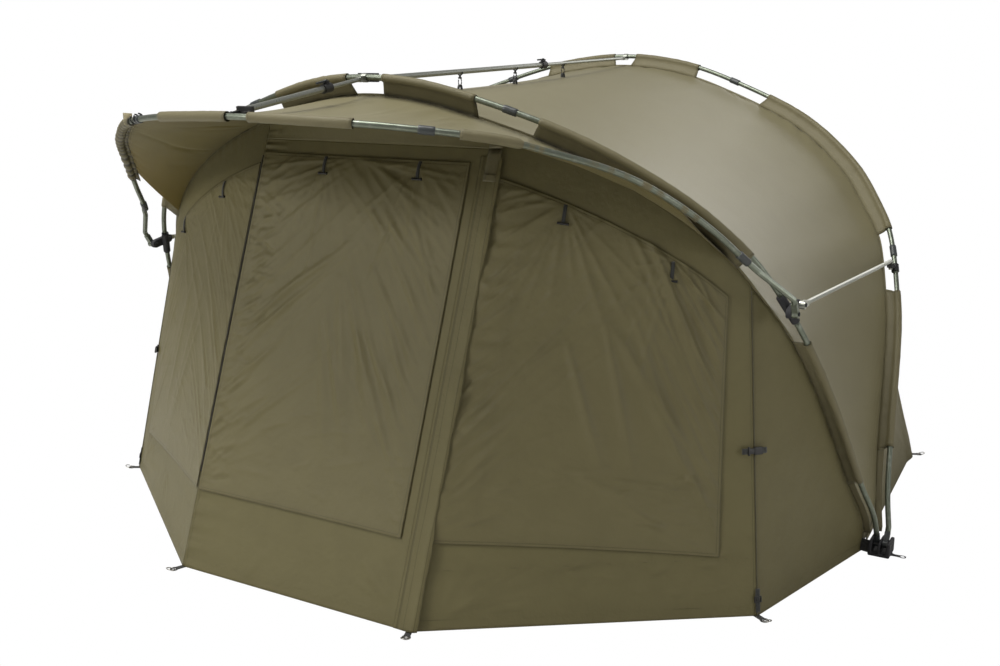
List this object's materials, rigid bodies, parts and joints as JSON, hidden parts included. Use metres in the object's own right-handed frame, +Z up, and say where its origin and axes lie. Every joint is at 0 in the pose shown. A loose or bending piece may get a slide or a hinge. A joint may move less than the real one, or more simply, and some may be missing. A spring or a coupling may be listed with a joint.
{
  "type": "bivvy tent",
  "caption": "Pram-hood bivvy tent: olive shell over hinged pole ribs, with a raised visor, spine bars, door wall and window flaps.",
  "frame": {"origin": "on the ground, midway between the two hub pins", "axes": "+X to the right when facing the door from outside, -Y out of the door, +Z up"},
  "size_m": [3.292, 3.2563, 1.7159],
  "materials": {
    "pole": "satin",
    "moulded": "matte",
    "steel": "satin",
    "shell": "matte",
    "wall": "matte",
    "floor": "matte"
  },
  "bodies": {
    "base": {"groundsheet": "floor", "hub_right": "moulded", "hub_left": "moulded"},
    "rear_rib": {"rear_pole_crown": "pole", "rear_pole_shoulder_right": "pole", "rear_pole_shoulder_left": "pole", "rear_pole_leg_right": "pole", "rear_pole_leg_left": "pole", "rear_rib_foot_right": "steel", "rear_rib_foot_left": "steel", "side_bar_socket_right": "moulded", "side_bar_socket_left": "moulded", "rear_sleeve": "shell", "shell": "shell", "rear_wall": "wall", "rear_side_panel_right": "wall", "rear_side_panel_left": "wall", "shell_hook_front": "moulded", "shell_hook_middle": "moulded", "shell_hook_rear": "moulded"},
    "front_rib": {"front_pole_crown": "pole", "front_pole_shoulder_right": "pole", "front_pole_shoulder_left": "pole", "front_pole_leg_right": "pole", "front_pole_leg_left": "pole", "front_rib_foot_right": "steel", "front_rib_foot_left": "steel", "joint_bracket_right": "moulded", "joint_bracket_left": "moulded", "front_sleeve": "shell", "door_header": "wall", "front_panel_right": "wall", "front_panel_left": "wall", "side_panel_right": "wall", "side_panel_left": "wall", "window_flap_right": "wall", "window_flap_left": "wall"},
    "door": {"door_panel": "wall", "door_window_flap": "wall", "storm_flap": "wall"},
    "visor": {"visor_panel": "shell", "visor_pole_crown": "pole", "visor_pole_shoulder_right": "pole", "visor_pole_shoulder_left": "pole", "visor_pole_leg_right": "pole", "visor_pole_leg_left": "pole", "visor_sleeve": "shell"},
    "rear_bar": {"rear_spine_inner_tube": "pole"},
    "rear_bar_outer": {"rear_spine_outer_tube": "pole", "rear_spine_clip": "moulded", "rear_spine_collar": "moulded"},
    "rear_bar_lever": {"rear_spine_lever": "moulded"},
    "front_bar": {"front_spine_inner_tube": "pole"},
    "front_bar_outer": {"front_spine_outer_tube": "pole", "front_spine_clip": "moulded", "front_spine_collar": "moulded"},
    "front_bar_lever": {"front_spine_lever": "moulded"},
    "side_bar_right": {"side_bar_right": "pole"},
    "side_bar_left": {"side_bar_left": "pole"}
  },
  "joints": [
    {"name": "rear_fold", "type": "hinge", "parent": "base", "child": "rear_rib", "pos_m": [0, 0, 0.035], "axis": [-1, 0, 0], "range_deg": [0, 50], "deforming": ["rear_wall", "rear_side_panel_right", "rear_side_panel_left"]},
    {"name": "front_fold", "type": "hinge", "parent": "rear_rib", "child": "front_rib", "pos_m": [0, 0, 0.035], "axis": [-1, 0, 0], "range_deg": [0, 57], "deforming": ["front_panel_right", "front_panel_left", "side_panel_right", "side_panel_left", "window_flap_right", "window_flap_left", "door_panel", "door_window_flap", "storm_flap", "shell", "door_header"]},
    {"name": "visor_fold", "type": "hinge", "parent": "front_rib", "child": "visor", "pos_m": [0, -0.53, 0.93], "axis": [-1, 0, 0], "range_deg": [0, 29], "deforming": ["visor_panel"]},
    {"name": "door_swing", "type": "hinge", "parent": "front_rib", "child": "door", "pos_m": [0, -0.8047, 1.4026], "axis": [-1, 0, 0], "range_deg": [0, 45]},
    {"name": "rear_bar_lift", "type": "hinge", "parent": "rear_rib", "child": "rear_bar", "pos_m": [0, 1.22414, 1.70147], "axis": [-1, 0, 0], "range_deg": [0, 125.4]},
    {"name": "rear_bar_slide", "type": "slide", "parent": "rear_bar", "child": "rear_bar_outer", "axis": [0, 0.9991, 0.0416], "range_m": [0, 0.15]},
    {"name": "rear_lever_open", "type": "hinge", "parent": "rear_bar_outer", "child": "rear_bar_lever", "pos_m": [0, 0.37639, 1.68268], "axis": [-1, 0, 0], "range_deg": [0, 90]},
    {"name": "front_bar_lift", "type": "hinge", "parent": "front_rib", "child": "front_bar", "pos_m": [0, -0.85426, 1.61492], "axis": [-1, 0, 0], "range_deg": [0, 87]},
    {"name": "front_bar_slide", "type": "slide", "parent": "front_bar", "child": "front_bar_outer", "axis": [0, 0.9891, 0.1473], "range_m": [0, 0.14]},
    {"name": "front_lever_open", "type": "hinge", "parent": "front_bar_outer", "child": "front_bar_lever", "pos_m": [0, -1.05807, 1.60631], "axis": [-1, 0, 0], "range_deg": [0, 90]},
    {"name": "side_bar_right_lift", "type": "hinge", "parent": "front_rib", "child": "side_bar_right", "pos_m": [1.345, -0.455, 0.945], "axis": [1, 0, 0], "range_deg": [0, 114]},
    {"name": "side_bar_left_lift", "type": "hinge", "parent": "front_rib", "child": "side_bar_left", "pos_m": [-1.345, -0.455, 0.945], "axis": [1, 0, 0], "range_deg": [0, 114]}
  ],
  "couplings": [
    {"joint": "rear_bar_lift", "follows": "front_fold", "ratio": 2.2},
    {"joint": "side_bar_right_lift", "follows": "front_fold", "ratio": 2},
    {"joint": "side_bar_left_lift", "follows": "front_fold", "ratio": 2},
    {"joint": "front_bar_lift", "follows": "visor_fold", "ratio": 3}
  ]
}
